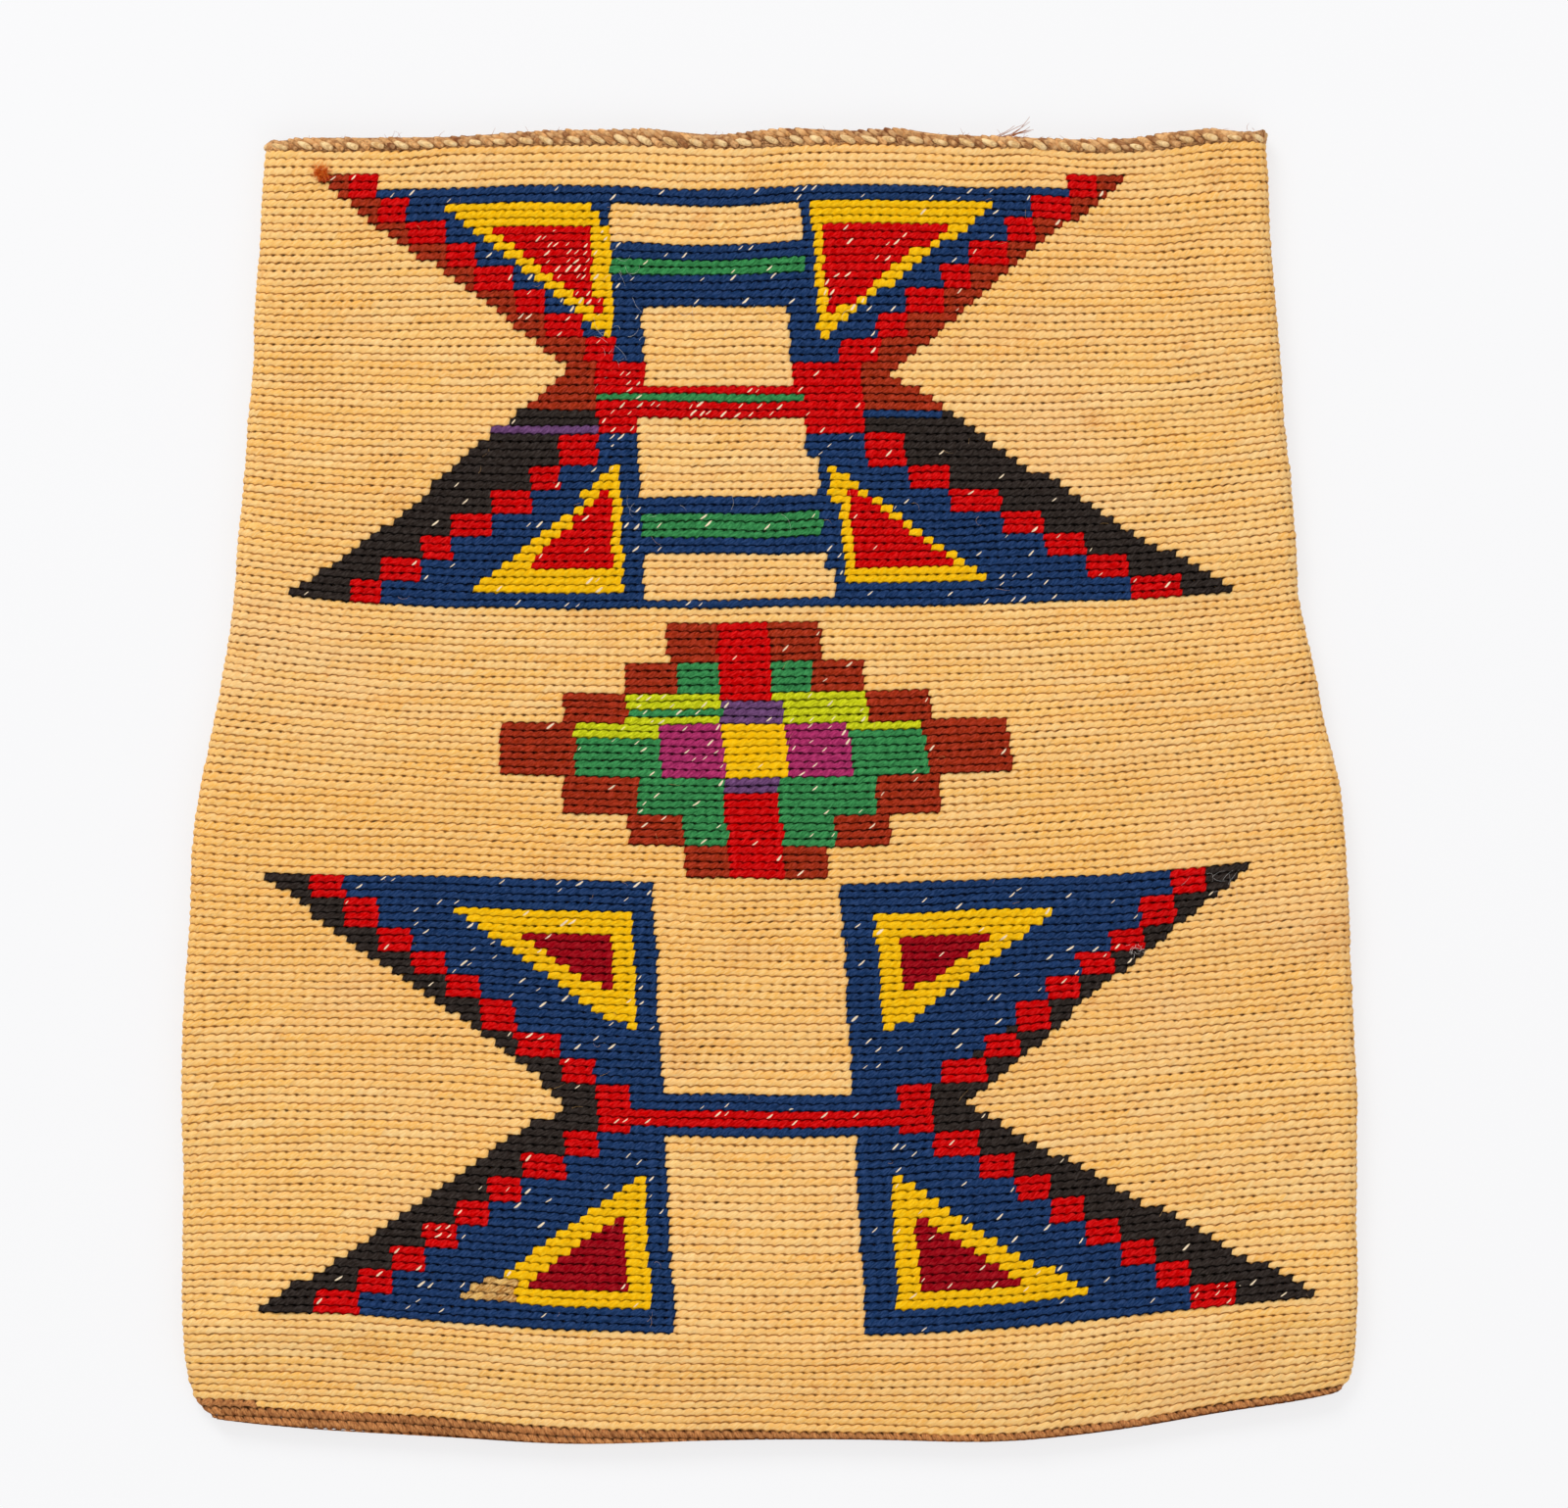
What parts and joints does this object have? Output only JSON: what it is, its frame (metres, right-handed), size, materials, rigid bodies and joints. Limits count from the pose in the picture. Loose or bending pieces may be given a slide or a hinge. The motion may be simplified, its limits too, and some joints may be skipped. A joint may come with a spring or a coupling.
{
  "type": "corn husk bag",
  "caption": "Flat seamless bag twined from cord and corn husk, open at its corded rim, with a stepped and winged design of dyed wool worked into the front.",
  "frame": {"origin": "centre of the bag's box, on the surface that its back lies on", "axes": "+X across the front to the right, +Y from the closed bottom to the mouth, +Z out of the front"},
  "size_m": [0.4476, 0.4984, 0.0141],
  "materials": {
    "husk": "matte, dry split corn husk over twined cord",
    "blue": "matte dyed wool yarn",
    "red": "matte dyed wool yarn",
    "crimson": "matte dyed wool yarn",
    "brown": "matte dyed wool yarn",
    "black": "matte dyed wool yarn",
    "yellow": "matte dyed wool yarn",
    "orange": "matte dyed wool yarn",
    "green": "matte dyed wool yarn",
    "lime": "matte dyed wool yarn",
    "purple": "matte dyed wool yarn",
    "violet": "matte dyed wool yarn",
    "cord": "matte twisted bast cord",
    "binding": "matte cord stitches, brown and pale by turns",
    "start": "matte twined brown cord"
  },
  "bodies": {
    "root": {"twined_body": "husk", "start_band": "start", "rim_binding": "binding", "rim_cord": "cord", "bottom_black_left": "black", "bottom_black_right": "black", "bottom_blue_lower_left": "blue", "bottom_blue_lower_right": "blue", "bottom_blue_upper_left": "blue", "bottom_blue_upper_right": "blue", "bottom_lower_left_crimson": "crimson", "bottom_lower_left_yellow": "yellow", "bottom_lower_right_crimson": "crimson", "bottom_lower_right_yellow": "yellow", "bottom_red_left": "red", "bottom_red_right": "red", "bottom_upper_left_crimson": "crimson", "bottom_upper_left_yellow": "yellow", "bottom_upper_right_crimson": "crimson", "bottom_upper_right_yellow": "yellow", "middle_brown_left": "brown", "middle_brown_right": "brown", "middle_green_left": "green", "middle_green_lower_left": "green", "middle_green_lower_right": "green", "middle_green_right": "green", "middle_green_stripe": "green", "middle_lime_left": "lime", "middle_lime_right": "lime", "middle_lime_strip": "lime", "middle_orange": "orange", "middle_purple_left": "purple", "middle_purple_right": "purple", "middle_red_lower": "red", "middle_red_upper": "red", "middle_violet_lower": "violet", "middle_violet_upper": "violet", "top_black_left": "black", "top_black_right": "black", "top_blue_lower_left": "blue", "top_blue_lower_right": "blue", "top_blue_upper_left": "blue", "top_blue_upper_right": "blue", "top_brown_left": "brown", "top_brown_right": "brown", "top_green_line": "green", "top_green_lower": "green", "top_green_upper": "green", "top_lower_left_red": "red", "top_lower_left_yellow": "yellow", "top_lower_right_red": "red", "top_lower_right_yellow": "yellow", "top_red_left": "red", "top_red_right": "red", "top_upper_left_red": "red", "top_upper_left_yellow": "yellow", "top_upper_right_red": "red", "top_upper_right_yellow": "yellow", "top_violet_row": "violet"}
  },
  "joints": []
}
